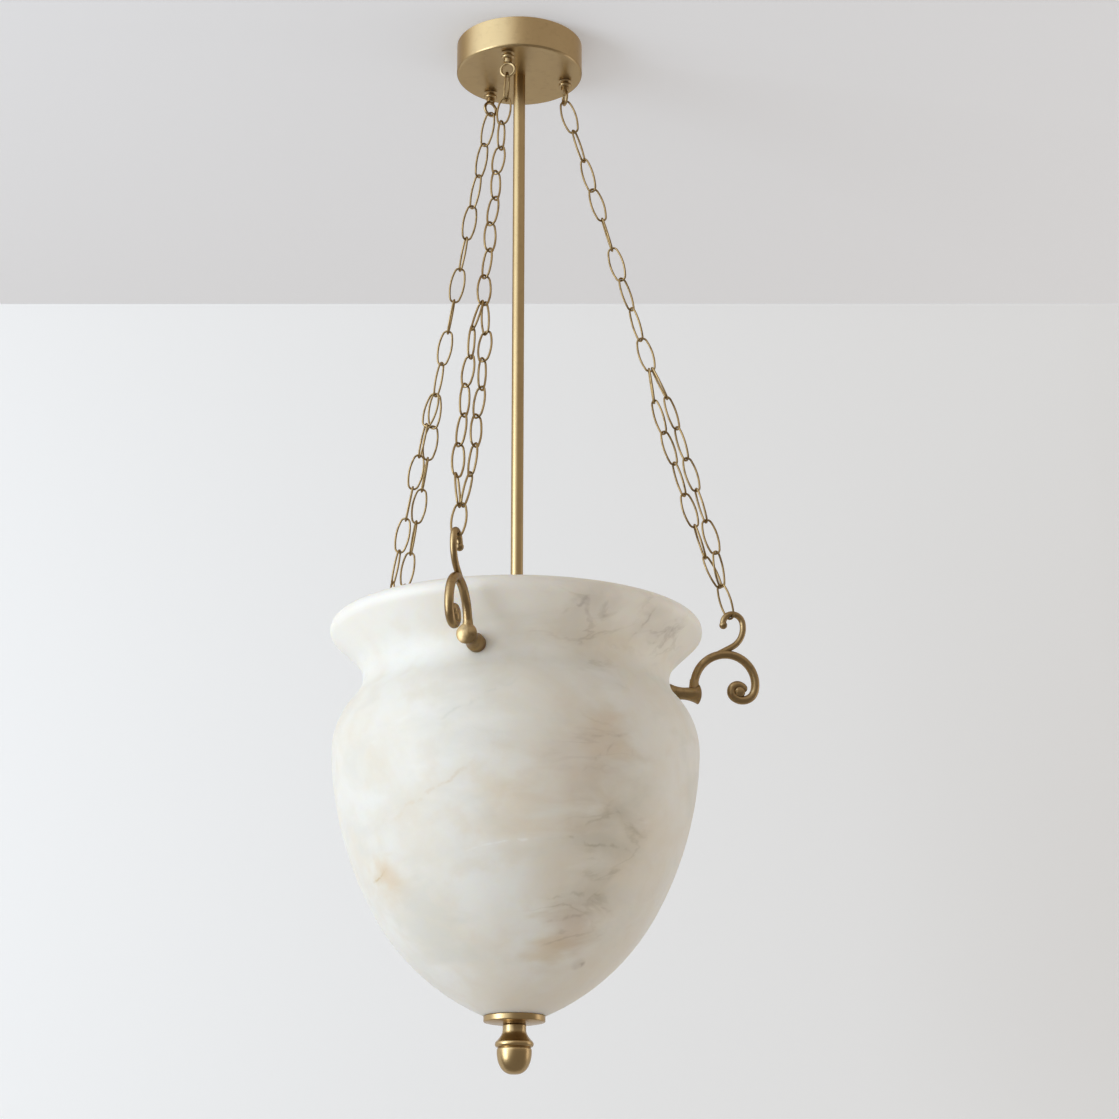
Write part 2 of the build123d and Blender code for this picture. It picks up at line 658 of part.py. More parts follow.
outlet_edge_reach = outlet_edge.X + (outlet_edge.Y - cluster_bottom) / tan(radians(lamp_dip))
cluster_cap_radius = outlet_edge_reach - hole_clearance
cluster_cap = rod(cluster_cap_radius, cluster_bottom - cluster_cap_height, cluster_bottom)
cluster_cap = fillet(cluster_cap.edges().group_by(Axis.Z)[0], cluster_cap_fillet)
cluster_cap += rod(cluster_cap_stud_radius, cluster_bottom, cap_stud_top)
save("cluster_cap", cluster_cap)

# Lampholders and lamps, laid out along each slanted lamp axis
cap_start = outlet_reach + holder_floor + cap_play
cap_end = cap_start + cap_length
holder_end = cap_end + holder_skirt
lampholder = rod(holder_radius, outlet_reach, holder_end)
lampholder = fillet(lampholder.edges().group_by(Axis.Z)[0], holder_fillet)
lampholder -= rod(cap_radius + cap_play, outlet_reach + holder_floor, holder_end)
lamp_cap = fillet(rod(cap_radius, cap_start, cap_end).edges().group_by(Axis.Z)[0], cap_fillet)
bulb_neck_radius = cap_radius - bulb_neck_step
globe_rise = sqrt((bulb_neck_arc + bulb_radius) ** 2 - (bulb_neck_radius + bulb_neck_arc) ** 2)
globe_centre = flat(0, holder_end + globe_rise)
bulb_neck_centre = flat(bulb_neck_radius + bulb_neck_arc, holder_end)
globe_start = bearing(globe_centre, bulb_neck_centre)
bulb = turned(
    [
        Line((0, cap_end), (bulb_neck_radius, cap_end)),
        Line((bulb_neck_radius, cap_end), (bulb_neck_radius, holder_end)),
        arc(bulb_neck_centre, bulb_neck_arc, 180, globe_start + 180),
        arc(globe_centre, bulb_radius, globe_start, 90),
        Line((0, globe_centre.Y + bulb_radius), (0, cap_end)),
    ]
)
for number, azimuth in enumerate(LAMP_AZIMUTHS, start=1):
    save(f"lampholder_{number}", around(azimuth, outlet * lampholder))
    save(f"lamp_cap_{number}", around(azimuth, outlet * lamp_cap))
    save(f"lamp_bulb_{number}", around(azimuth, outlet * bulb))

# Places that the joints and mounts use
bottom_pivot = cane_centre - flat(chain_way.X, chain_way.Z) * cane_radius
second_pivot = chain_line(link_step)
last_pivot = chain_line(chain_span - link_step)
print("chain angle", round(degrees(chain_angle), 3), "length", round(chain_length, 2))
print("top pivot", top_pivot, "second pivot", second_pivot)
print("last pivot", last_pivot, "bottom pivot", bottom_pivot)
print("neck level", round(neck_level, 2), "base level", round(base_level, 2), "tip", round(acorn_tip, 2))
print("lip top", round(lip_centre.Y + lip_edge_radius, 2), "lamp level", round(lamp_level, 2))
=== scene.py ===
# %% [markdown]
# # Alabaster pendant light
# A stone urn hangs on three brass chains from a round canopy on the ceiling. This lesson dresses the packed
# model: it loads the solids, sets up the camera and the light, writes one finish for each real material and
# gives every solid the finish that the real piece has. All lengths are metres and +Z is up, with the ceiling
# at Z = 0.

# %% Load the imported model
from math import radians

import bmesh
import bpy
from mathutils import Matrix, Vector


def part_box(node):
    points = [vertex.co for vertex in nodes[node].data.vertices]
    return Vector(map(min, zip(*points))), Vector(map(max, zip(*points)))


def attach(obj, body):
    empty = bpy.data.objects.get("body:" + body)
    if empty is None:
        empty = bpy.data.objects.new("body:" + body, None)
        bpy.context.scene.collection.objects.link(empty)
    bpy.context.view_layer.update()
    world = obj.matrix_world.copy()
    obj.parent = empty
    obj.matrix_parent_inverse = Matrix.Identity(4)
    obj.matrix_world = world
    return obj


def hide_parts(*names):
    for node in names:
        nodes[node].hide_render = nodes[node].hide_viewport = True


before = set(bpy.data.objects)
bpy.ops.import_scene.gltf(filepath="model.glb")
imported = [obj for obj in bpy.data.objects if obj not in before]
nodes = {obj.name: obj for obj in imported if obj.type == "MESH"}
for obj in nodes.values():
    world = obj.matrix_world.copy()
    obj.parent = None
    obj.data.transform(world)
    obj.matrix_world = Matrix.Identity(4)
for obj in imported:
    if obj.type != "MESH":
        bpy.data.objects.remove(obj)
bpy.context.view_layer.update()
scene = bpy.context.scene

# %% [markdown]
# ## Camera
# The photograph is taken from below, with the camera tipped up. The place, the tip and the lens were fitted
# to the outlines of the canopy, the urn and the finial, so no lens shift is needed.

# %% Camera
CAMERA_PLACE = (0.042, -2.3237, -1.2772)
CAMERA_TIP = radians(90 + 17.08)
CAMERA_LENS = 79.39
CAMERA_SENSOR = 36.0

camera = bpy.data.objects.new("camera", bpy.data.cameras.new("camera"))
camera.location = CAMERA_PLACE
camera.rotation_euler = (CAMERA_TIP, 0, 0)
camera.data.lens = CAMERA_LENS
camera.data.sensor_width = CAMERA_SENSOR
scene.collection.objects.link(camera)
scene.camera = camera
scene.view_settings.view_transform = "Standard"
print("camera at", CAMERA_PLACE)

# %% [markdown]
# ## Shader sums
# A finish is easier to read as a sum than as a picture of boxes and wires. `Value` wraps one number of a
# material, so that `1 - mask` adds the Math node that it stands for.


# %% Value
class Value:
    """One number that changes over a surface."""

    def __init__(self, tree, socket):
        self.tree = tree
        self.socket = socket

    def sum_node(self, operation, first, second):
        node = self.tree.nodes.new("ShaderNodeMath")
        node.operation = operation
        for socket, term in zip(node.inputs, (first, second)):
            if isinstance(term, Value):
                self.tree.links.new(term.socket, socket)
            else:
                socket.default_value = term
        return Value(self.tree, node.outputs[0])

    def __add__(self, other):
        return self.sum_node("ADD", self, other)

    def __radd__(self, other):
        return self.sum_node("ADD", other, self)

    def __sub__(self, other):
        return self.sum_node("SUBTRACT", self, other)

    def __rsub__(self, other):
        return self.sum_node("SUBTRACT", other, self)

    def __mul__(self, other):
        return self.sum_node("MULTIPLY", self, other)

    def __rmul__(self, other):
        return self.sum_node("MULTIPLY", other, self)

    def __pow__(self, other):
        return self.sum_node("POWER", self, other)

    def __abs__(self):
        return self.sum_node("ABSOLUTE", self, 0.0)


print("sums of values ready")

# %% [markdown]
# `Tree` holds the nodes of a material or of the world, and its one method `node` adds any node: the settings
# are set first, and then the sockets get their numbers or links. `Finish` is a material with its shader, and
# with the places on the object that its patterns read.


# %% Tree and Finish
class Tree:
    """The nodes of a material or of the world."""

    def __init__(self, owner):
        owner.use_nodes = True
        self.tree = owner.node_tree

    def node(self, kind, settings=None, inputs=None):
        added = self.tree.nodes.new(kind)
        for name, setting in (settings or {}).items():
            setattr(added, name, setting)
        for name, term in (inputs or {}).items():
            self.feed(added.inputs[name], term)
        return added

    def feed(self, socket, term):
        if isinstance(term, Value):
            self.tree.links.new(term.socket, socket)
        elif isinstance(term, bpy.types.NodeSocket):
            self.tree.links.new(term, socket)
        else:
            socket.default_value = term

    def split(self, vector):
        parts = self.node("ShaderNodeSeparateXYZ", inputs={"Vector": vector})
        return [Value(self.tree, socket) for socket in parts.outputs]

    def step(self, value, low, high):
        """0 below low, 1 above high, smooth between."""
        settings = {"interpolation_type": "SMOOTHSTEP"}
        inputs = {"Value": value, "From Min": low, "From Max": high}
        return Value(self.tree, self.node("ShaderNodeMapRange", settings, inputs).outputs[0])

    def mix(self, factor, first, second):
        mixer = self.node("ShaderNodeMix", {"data_type": "RGBA"}, {0: factor, 6: first, 7: second})
        return mixer.outputs[2]

    def rays(self, *kinds):
        """1 for rays of these kinds, such as Camera, and 0 for the others."""
        outputs = self.node("ShaderNodeLightPath").outputs
        share = Value(self.tree, outputs[f"Is {kinds[0]} Ray"])
        for kind in kinds[1:]:
            share = share + Value(self.tree, outputs[f"Is {kind} Ray"])
        return share


class Finish(Tree):
    """A material with its shader, and the places on the object that its patterns read."""

    def __init__(self, name):
        self.material = bpy.data.materials.new(name)
        super().__init__(self.material)
        self.shader = self.tree.nodes["Principled BSDF"]
        self.place = self.node("ShaderNodeTexCoord").outputs["Object"]

    def set(self, **sockets):
        """Feed sockets of the shader, such as base_color=..., with a number, a colour or a link."""
        for name, term in sockets.items():
            self.feed(self.shader.inputs[name.replace("_", " ").title()], term)

    def vector(self, x, y, z):
        return self.node("ShaderNodeCombineXYZ", inputs={"X": x, "Y": y, "Z": z}).outputs[0]

    def noise(self, scale, detail=3.0, distortion=0.0, place=None):
        inputs = {"Scale": scale, "Detail": detail, "Distortion": distortion, "Vector": place or self.place}
        return Value(self.tree, self.node("ShaderNodeTexNoise", inputs=inputs).outputs["Fac"])

    def bump(self, height, depth, strength=1.0):
        inputs = {"Height": height, "Distance": depth, "Strength": strength}
        self.set(normal=self.node("ShaderNodeBump", inputs=inputs).outputs[0])


def colour(red, green, blue):
    """A screen colour, 0 to 255, as the linear colour that a shader takes."""
    linear = []
    for level in (red, green, blue):
        share = level / 255
        linear.append(share / 12.92 if share <= 0.04045 else ((share + 0.055) / 1.055) ** 2.4)
    return (*linear, 1.0)


print("finishes ready")

# %% [markdown]
# ## Room
# The pendant hangs from a pale ceiling in front of a pale wall. The wall, the ceiling and a floor are flat
# sheets. Each is seen from its front only, and light passes through it, so the light stays even and the
# object can be looked at from any side. A little glow lifts the paint to the pale grey of the photograph
# without putting more light on the object.

# %% Room
WALL_Y = 0.687
CEILING_Z = 0.0005
FLOOR_Z = -2.6
ROOM_HALF = 4.0
PAINT_ROUGHNESS = 0.9
WALL_PAINT = colour(238, 240, 244)
CEILING_PAINT = colour(240, 243, 250)
WALL_GLOW = 0.12
CEILING_GLOW = 0.12


def one_sided(name, paint, glow, *kinds):
    """Matte paint that only its front shows, and only to rays of these kinds."""
    finish = Finish(name)
    finish.set(base_color=paint, roughness=PAINT_ROUGHNESS, emission_color=paint, emission_strength=glow)
    front = 1 - Value(finish.tree, finish.node("ShaderNodeNewGeometry").outputs["Backfacing"])
    clear = finish.node("ShaderNodeBsdfTransparent").outputs[0]
    shown = finish.rays(*kinds) * front
    mixed = finish.node("ShaderNodeMixShader", inputs={0: shown, 1: clear, 2: finish.shader.outputs[0]})
    finish.tree.links.new(mixed.outputs[0], finish.tree.nodes["Material Output"].inputs["Surface"])
    return finish.material


def sheet(name, corners, material):
    """One flat face of the room, which isn't part of the object."""
    shape = bmesh.new()
    shape.faces.new([shape.verts.new(corner) for corner in corners])
    mesh = bpy.data.meshes.new(name)
    shape.to_mesh(mesh)
    shape.free()
    mesh.materials.append(material)
    plane = bpy.data.objects.new(name, mesh)
    scene.collection.objects.link(plane)


left, right, near = -ROOM_HALF, ROOM_HALF, -ROOM_HALF
level_corners = [(left, near), (right, near), (right, WALL_Y), (left, WALL_Y)]
wall_corners = [(left, FLOOR_Z), (right, FLOOR_Z), (right, 0), (left, 0)]
wall_paint = one_sided("wall paint", WALL_PAINT, WALL_GLOW, "Camera", "Glossy", "Transmission")
ceiling_paint = one_sided("ceiling paint", CEILING_PAINT, CEILING_GLOW, "Camera", "Transmission")
sheet("wall", [(across, WALL_Y, up) for across, up in wall_corners], wall_paint)
sheet("ceiling", [(across, deep, CEILING_Z) for across, deep in reversed(level_corners)], ceiling_paint)
sheet("floor", [(across, deep, FLOOR_Z) for across, deep in level_corners], ceiling_paint)
print("wall, ceiling and floor")

# %% [markdown]
# ## Light
# A tall soft window on the left is the main light, a little cool as daylight is. The room gives back a warmer
# light, which fills the right side, and a faint light from behind on the right picks out the urn's far edge.
# Brass mirrors the room: the ceiling is bright, most of all beside the window, and the rest is dimmer. Only
# the rays that shiny surfaces send out see this difference. Without it, brass looks flat.

# %% Light
ROOM_LIGHT = colour(255, 246, 234)
SKY_LIGHT = colour(230, 244, 255)
ROOM_STRENGTH = 0.52
MIRROR_LOW = 0.3
MIRROR_HIGH = 0.75
WINDOW_WAY = (-0.75, -0.5, 0.43)
WINDOW_GLEAM = 1.8
CEILING_RISE = (0.1, 0.55)
WINDOW_EDGE = (0.6, 0.95)
BACKGROUND = colour(226, 226, 228)
DAYLIGHT = (0.82, 0.92, 1.0)
WARM = (1.0, 0.95, 0.88)
MIDDLE = (0, 0, -0.6)
LEFT_WINDOW_PLACE = (-2.3, -1.3, -0.7)
LEFT_WINDOW_SIZE = (1.3, 2.4)
LEFT_WINDOW_POWER = 49
EDGE_LIGHT_PLACE = (2.2, 0.5, -0.7)
EDGE_LIGHT_SIZE = (0.9, 1.6)
EDGE_LIGHT_POWER = 6

world = bpy.data.worlds.new("soft light")
scene.world = world
surround = Tree(world)
lighting = surround.tree.nodes["Background"]
x, y, z = surround.split(surround.node("ShaderNodeTexCoord").outputs["Generated"])
upward = surround.step(z, *CEILING_RISE)
windowward = surround.step(x * WINDOW_WAY[0] + y * WINDOW_WAY[1] + z * WINDOW_WAY[2], *WINDOW_EDGE)
mirrored = MIRROR_LOW + (MIRROR_HIGH - MIRROR_LOW) * upward + WINDOW_GLEAM * windowward
glossy = surround.rays("Glossy")
surround.feed(lighting.inputs["Strength"], ROOM_STRENGTH + (mirrored - ROOM_STRENGTH) * glossy)
surround.feed(lighting.inputs["Color"], surround.mix(windowward * glossy, ROOM_LIGHT, SKY_LIGHT))
backdrop = surround.node("ShaderNodeBackground", inputs={"Color": BACKGROUND, "Strength": 1.0})
sky = surround.node(
    "ShaderNodeMixShader",
    inputs={0: surround.rays("Camera", "Transmission"), 1: lighting.outputs[0], 2: backdrop.outputs[0]},
)
surround.tree.links.new(sky.outputs[0], surround.tree.nodes["World Output"].inputs["Surface"])


def window(name, place, size, power, tint):
    """A soft rectangular light that faces the middle of the object."""
    lamp = bpy.data.lights.new(name, "AREA")
    lamp.shape = "RECTANGLE"
    lamp.size, lamp.size_y = size
    lamp.energy = power
    lamp.color = tint
    holder = bpy.data.objects.new(name, lamp)
    holder.location = place
    way = Vector(MIDDLE) - Vector(place)
    holder.rotation_euler = way.to_track_quat("-Z", "Y").to_euler()
    holder.visible_camera = False
    scene.collection.objects.link(holder)


window("left window", LEFT_WINDOW_PLACE, LEFT_WINDOW_SIZE, LEFT_WINDOW_POWER, DAYLIGHT)
window("right edge light", EDGE_LIGHT_PLACE, EDGE_LIGHT_SIZE, EDGE_LIGHT_POWER, WARM)
print("daylight from the left, warm light from the room")

# %% [markdown]
# ## Brass
# All the metal that shows is brass, finished in different ways: the canopy and the stem are brushed to a
# satin and lacquered, the finial is turned and polished, the chains are wire that has gone brown, and the
# scroll hooks are cast and aged. One function makes the tone and the brown film that old brass has, and each
# finish adds the marks of its own tool. The lacquer is the shader's coat: it keeps the highlights pale.

# %% Brass finishes
BRASS = colour(178, 153, 110)
BRASS_SHADE = colour(164, 137, 94)
CHAIN_BRASS = colour(164, 140, 100)
CAST_BRASS = colour(168, 142, 100)
AGED_SHADE = colour(138, 112, 73)
POLISHED_BRASS = colour(188, 162, 116)
POLISHED_SHADE = colour(164, 134, 86)
BROWN_FILM = colour(96, 74, 46)
FILM_ROUGHNESS = 0.14
WORN_ROUGHNESS = 0.06
LACQUER_ROUGHNESS = 0.25
DRAWN_STRETCH = 60


def brass(name, bright, shade, film, roughness, lacquer):
    """Brass with broad changes of tone, thin brown film in spots, and lacquer."""
    finish = Finish(name)
    tone = finish.mix(finish.noise(14, 4), bright, shade)
    spots = finish.step(finish.noise(160, 5, 0.4), 0.5, 0.76) * film
    finish.set(base_color=finish.mix(spots, tone, BROWN_FILM), metallic=1.0)
    finish.set(roughness=roughness + FILM_ROUGHNESS * spots + WORN_ROUGHNESS * finish.noise(60, 2))
    finish.set(coat_weight=lacquer, coat_roughness=LACQUER_ROUGHNESS, specular_tint=bright)
    return finish


def spun_lines(finish, lines, depth):
    """Fine rings around the stem's line, as a lathe or a brush on a lathe leaves them."""
    x, y, z = finish.split(finish.place)
    rings = finish.vector((x**2 + y**2) ** 0.5 * lines, z * lines, 0.0)
    finish.bump(finish.noise(1.0, 2, 0.0, rings), depth)


def drawn_lines(finish, lines, depth):
    """Fine lines along Z, as a drawn and brushed tube has them."""
    x, y, z = finish.split(finish.place)
    along = finish.vector(x * lines, y * lines, z * (lines / DRAWN_STRETCH))
    finish.bump(finish.noise(1.0, 2, 0.0, along), depth)


satin_brass = brass("satin brass", BRASS, BRASS_SHADE, film=0.12, roughness=0.34, lacquer=0.7)
spun_lines(satin_brass, lines=1600, depth=0.00006)
stem_brass = brass("brushed stem brass", BRASS, BRASS_SHADE, film=0.12, roughness=0.28, lacquer=0.6)
drawn_lines(stem_brass, lines=1800, depth=0.00003)
polished_brass = brass(
    "polished brass", POLISHED_BRASS, POLISHED_SHADE, film=0.12, roughness=0.28, lacquer=0.9
)
spun_lines(polished_brass, lines=1200, depth=0.00002)
chain_brass = brass("aged chain brass", CHAIN_BRASS, AGED_SHADE, film=0.6, roughness=0.28, lacquer=0.2)
chain_brass.bump(chain_brass.noise(900, 3), depth=0.00005)
cast_brass = brass("cast hook brass", CAST_BRASS, AGED_SHADE, film=0.5, roughness=0.32, lacquer=0.5)
cast_brass.bump(cast_brass.noise(420, 4, 0.3), depth=0.0002)
print("five brass finishes")

# %% [markdown]
# ## Alabaster
# Alabaster is a soft stone that lets some light in. It is almost white, with broad warm and cool clouds and
# faint wisps that run up to the right. Noise makes both. The wisps read a place that is turned and squeezed,
# so that the same noise comes out as streaks. The thin lip is painted paler: a painted glow of the light
# through it.

# %% Clouds and wisps
STONE_PALE = colour(238, 237, 233)
STONE_WARM = colour(226, 217, 204)
STONE_COOL = colour(221, 221, 216)
STONE_WHITE = colour(245, 245, 243)
WISP_RISE = radians(28)
WISP_SQUEEZE = (0.3, 0.7, 1.0)
LIP_HEIGHTS = (-0.682, -0.652)

alabaster = Finish("alabaster")
leaning = alabaster.node(
    "ShaderNodeMapping",
    inputs={"Vector": alabaster.place, "Rotation": (0, WISP_RISE, 0), "Scale": WISP_SQUEEZE},
).outputs[0]
clouds = alabaster.step(alabaster.noise(7, 5, 0.5), 0.38, 0.7)
curds = alabaster.step(alabaster.noise(30, 6, 0.3), 0.45, 0.75)
wisps = alabaster.step(alabaster.noise(28, 6, 0.5, leaning), 0.46, 0.76)
pale_wisps = alabaster.step(alabaster.noise(40, 5, 0.4, leaning), 0.55, 0.8)
# Painted glow: the lip is painted whiter, standing in for the light that passes through its thin stone.
painted_lip_glow = alabaster.step(alabaster.split(alabaster.place)[2], *LIP_HEIGHTS)
stone = STONE_PALE
for cover, share, tint in (
    (clouds, 0.65, STONE_WARM),
    (curds, 0.45, STONE_WARM),
    (wisps, 0.6, STONE_COOL),
    (pale_wisps, 0.4, STONE_WHITE),
    (painted_lip_glow, 0.6, STONE_WHITE),
):
    stone = alabaster.mix(share * cover, stone, tint)
print("clouds and wisps")

# %% [markdown]
# Each block of stone has its own marks, and these have places on the urn. A patch is a cloud of peach, ochre
# or grey with a ragged edge. Some patches hold a net of fine threads. A vein is a thin, wavering line with a
# soft shade beside it, which fades out towards its ends.

# %% Marks in the stone
PEACH = colour(224, 200, 170)
OCHRE = colour(206, 182, 142)
ROSE = colour(196, 176, 160)
GREY = colour(158, 152, 142)
GREEN_GREY = colour(150, 146, 124)
BROWN = colour(120, 98, 82)
THREAD_WIDTH = 0.03
PATCH_CORE = 0.1
PATCH_RAGGED = 2.2
VEIN_CORE = 0.35
SHADE_WIDTH = 5
SHADE_STRENGTH = 0.3

ragged = alabaster.noise(45, 8, 0.4, leaning) - 0.5
waver = alabaster.noise(34, 6, 0.3) - 0.5
broken = alabaster.step(alabaster.noise(90, 5), 0.4, 0.62)
threads = 1 - alabaster.step(abs(alabaster.noise(26, 6, 0.5, leaning) - 0.5), 0.0, THREAD_WIDTH)


def patch(centre, reach):
    """1 in the middle of a patch on the stone, 0 outside, with a ragged edge."""
    away = alabaster.node("ShaderNodeVectorMath", {"operation": "DISTANCE"}, {0: alabaster.place, 1: centre})
    distance = Value(alabaster.tree, away.outputs["Value"])
    return 1 - alabaster.step(distance + ragged * (PATCH_RAGGED * reach), PATCH_CORE * reach, reach)


def vein(centre, rise, reach, width, wave):
    """How near a place is to a wavering line: 1 on it and 0 at its width."""
    settings = {"vector_type": "TEXTURE"}
    inputs = {"Vector": alabaster.place, "Location": centre, "Rotation": (0, -radians(rise), 0)}
    along, depth, across = alabaster.split(alabaster.node("ShaderNodeMapping", settings, inputs).outputs[0])
    ends = 1 - alabaster.step((along**2 + depth**2) ** 0.5, VEIN_CORE * reach, reach)
    return ends * (1 - alabaster.step(abs(across + waver * wave), 0.0, width))


# Each row is a centre, a reach, a tint and a strength.
PATCHES = (
    ((0.070, -0.155, -0.652), 0.075, GREY, 0.16),
    ((0.135, -0.100, -0.655), 0.050, GREY, 0.12),
    ((0.060, -0.160, -0.800), 0.075, ROSE, 0.20),
    ((0.086, -0.153, -0.779), 0.030, PEACH, 0.18),
    ((-0.006, -0.161, -0.850), 0.060, PEACH, 0.20),
    ((0.090, -0.132, -0.852), 0.060, GREEN_GREY, 0.15),
    ((-0.112, -0.088, -0.897), 0.034, PEACH, 0.55),
    ((0.053, -0.099, -0.945), 0.035, ROSE, 0.34),
    ((0.034, -0.092, -0.964), 0.038, OCHRE, 0.36),
    ((0.065, -0.115, -0.912), 0.040, GREEN_GREY, 0.15),
    ((-0.080, -0.090, -0.930), 0.055, STONE_COOL, 0.70),
)
THREADED_PATCHES = (
    ((0.082, -0.150, -0.652), 0.070, GREY, 0.30),
    ((0.143, -0.082, -0.660), 0.050, GREY, 0.26),
    ((0.070, -0.155, -0.790), 0.050, BROWN, 0.09),
    ((0.090, -0.132, -0.860), 0.055, GREEN_GREY, 0.22),
    ((0.060, -0.112, -0.925), 0.050, GREEN_GREY, 0.17),
    ((0.050, -0.100, -0.950), 0.035, BROWN, 0.12),
)
# Each row is a centre, a rise in degrees, a reach, a width, a wave, a tint and a strength.
VEINS = (
    ((0.066, -0.158, -0.650), 28, 0.030, 0.0024, 0.020, GREY, 0.38),
    ((0.086, -0.154, -0.658), 24, 0.022, 0.0022, 0.020, GREY, 0.34),
    ((0.120, -0.118, -0.662), 52, 0.026, 0.0020, 0.016, GREY, 0.32),
    ((0.143, -0.082, -0.660), 30, 0.030, 0.0022, 0.018, GREY, 0.29),
    ((0.082, -0.155, -0.777), 10, 0.034, 0.0024, 0.014, BROWN, 0.20),
    ((0.078, -0.155, -0.795), 38, 0.026, 0.0022, 0.020, BROWN, 0.17),
    ((0.073, -0.134, -0.873), -4, 0.050, 0.0022, 0.022, GREEN_GREY, 0.32),
    ((0.080, -0.141, -0.851), 24, 0.030, 0.0022, 0.022, GREEN_GREY, 0.25),
    ((0.108, -0.119, -0.852), -34, 0.034, 0.0024, 0.022, GREEN_GREY, 0.25),
    ((0.058, -0.121, -0.914), 6, 0.040, 0.0020, 0.022, GREEN_GREY, 0.26),
    ((0.078, -0.106, -0.922), -30, 0.030, 0.0022, 0.018, GREY, 0.24),
    ((0.049, -0.111, -0.935), 14, 0.026, 0.0022, 0.018, BROWN, 0.20),
    ((0.060, -0.068, -0.971), 30, 0.009, 0.0019, 0.004, BROWN, 0.56),
    ((-0.121, -0.079, -0.890), 26, 0.022, 0.0014, 0.012, OCHRE, 0.70),
    ((-0.006, -0.153, -0.873), 8, 0.042, 0.0016, 0.010, STONE_WHITE, 0.70),
    ((-0.038, -0.173, -0.748), 26, 0.060, 0.0030, 0.020, STONE_COOL, 0.80),
    ((-0.074, -0.151, -0.825), 30, 0.060, 0.0030, 0.024, STONE_WARM, 0.90),
)

for centre, reach, tint, strength in PATCHES:
    stone = alabaster.mix(patch(centre, reach) * strength, stone, tint)
for centre, reach, tint, strength in THREADED_PATCHES:
    stone = alabaster.mix(patch(centre, reach) * threads * strength, stone, tint)
for centre, rise, reach, width, wave, tint, strength in VEINS:
    shade = vein(centre, rise, reach, SHADE_WIDTH * width, wave)
    line = vein(centre, rise, reach, width, wave)
    stone = alabaster.mix(SHADE_STRENGTH * strength * shade, stone, tint)
    stone = alabaster.mix(strength * broken * line, stone, tint)
print("patches and veins,", len(alabaster.tree.nodes), "nodes")

# %% [markdown]
# The surface is honed, not polished, and light that enters the stone comes out a little way off, so shadows
# on it are soft. That is the shader's subsurface part, and it is the same all over.

# %% Alabaster surface
HONED_ROUGHNESS = 0.5
HONED_SPREAD = 0.16
LIGHT_REACH = (0.022, 0.018, 0.013)

alabaster.set(base_color=stone, roughness=HONED_ROUGHNESS + HONED_SPREAD * ragged)
alabaster.set(subsurface_weight=0.8, subsurface_radius=LIGHT_REACH, subsurface_scale=1.0)
alabaster.bump(alabaster.noise(320, 3), depth=0.0001)
print("alabaster surface")

# %% [markdown]
# ## Hidden fittings
# The bar, the nuts, the washers and the studs are zinc-plated steel, the lampholders are glazed porcelain,
# the lamps are frosted glass with a rolled metal cap, and the pads that keep metal off the stone are black
# rubber.

# %% Fittings finishes
steel = Finish("zinc plated steel")
steel.set(base_color=steel.mix(steel.noise(60, 4), colour(188, 188, 184), colour(150, 150, 146)))
steel.set(metallic=1.0, roughness=0.32 + 0.15 * steel.noise(140, 3))
steel.bump(steel.noise(700, 2), 0.00004)

porcelain = Finish("glazed porcelain")
porcelain.set(base_color=porcelain.mix(porcelain.noise(40, 3), colour(240, 238, 232), colour(226, 222, 212)))
porcelain.set(roughness=0.14 + 0.1 * porcelain.noise(90, 2))

glass = Finish("frosted glass")
glass.set(base_color=glass.mix(glass.noise(30, 2), colour(246, 245, 240), colour(236, 233, 224)))
glass.set(roughness=0.38 + 0.1 * glass.noise(200, 2))

CAP_BRASS = colour(206, 188, 146)
CAP_SHADE = colour(180, 158, 112)
lamp_cap_brass = brass("rolled lamp cap", CAP_BRASS, CAP_SHADE, film=0.2, roughness=0.28, lacquer=0.0)

rubber = Finish("black rubber")
rubber.set(base_color=rubber.mix(rubber.noise(120, 3), colour(34, 34, 34), colour(48, 47, 45)))
rubber.set(roughness=0.75 + 0.12 * rubber.noise(300, 2))
rubber.bump(rubber.noise(1500, 2), 0.00006)
print("steel, porcelain, glass, lamp cap and rubber")

# %% [markdown]
# ## Dressing the solids
# Every solid gets the finish of its real piece, found by the start of its name. The longest start that fits
# decides, so `hook_nuts` is steel although `hook_` is cast brass.

# %% Dress
FINISHES = {
    "canopy": satin_brass,
    "canopy_": steel,
    "stem": stem_brass,
    "stem_nipple": steel,
    "eye_": satin_brass,
    "eye_washers": steel,
    "eye_nuts": steel,
    "top_link_": chain_brass,
    "chain_": chain_brass,
    "strand_": chain_brass,
    "hook_link_": chain_brass,
    "hook_": cast_brass,
    "hook_studs": steel,
    "hook_washers": steel,
    "hook_nuts": steel,
    "hook_pads": rubber,
    "bowl": alabaster,
    "finial": polished_brass,
    "finial_rod": steel,
    "rod_": steel,
    "rod_gasket": rubber,
    "cluster_": satin_brass,
    "cluster_nipple": steel,
    "lampholder_": porcelain,
    "lamp_bulb_": glass,
    "lamp_cap_": lamp_cap_brass,
    "mounting_bar": steel,
    "bar_nut": steel,
}


def finish_of(name):
    """The finish with the longest key that the node's name starts with."""
    return FINISHES[max((key for key in FINISHES if name.startswith(key)), key=len)]


for name, solid in nodes.items():
    solid.data.materials.clear()
    solid.data.materials.append(finish_of(name).material)
print("dressed", len(nodes), "solids")

# %% [markdown]
# ## Turned pieces
# Two kinds of small pieces are turned: the acorn under the urn and the round eye in the middle of each
# scroll. A lathe turns one outline about a line, and so does the spin operator. A subdivision surface rounds
# the few points of an outline, and points that lie close together keep an edge.

# %% Turning
MILLIMETRE = 0.001
SAME_POINT = 1e-6
TURN_STEPS = 24
ROUNDING = 2


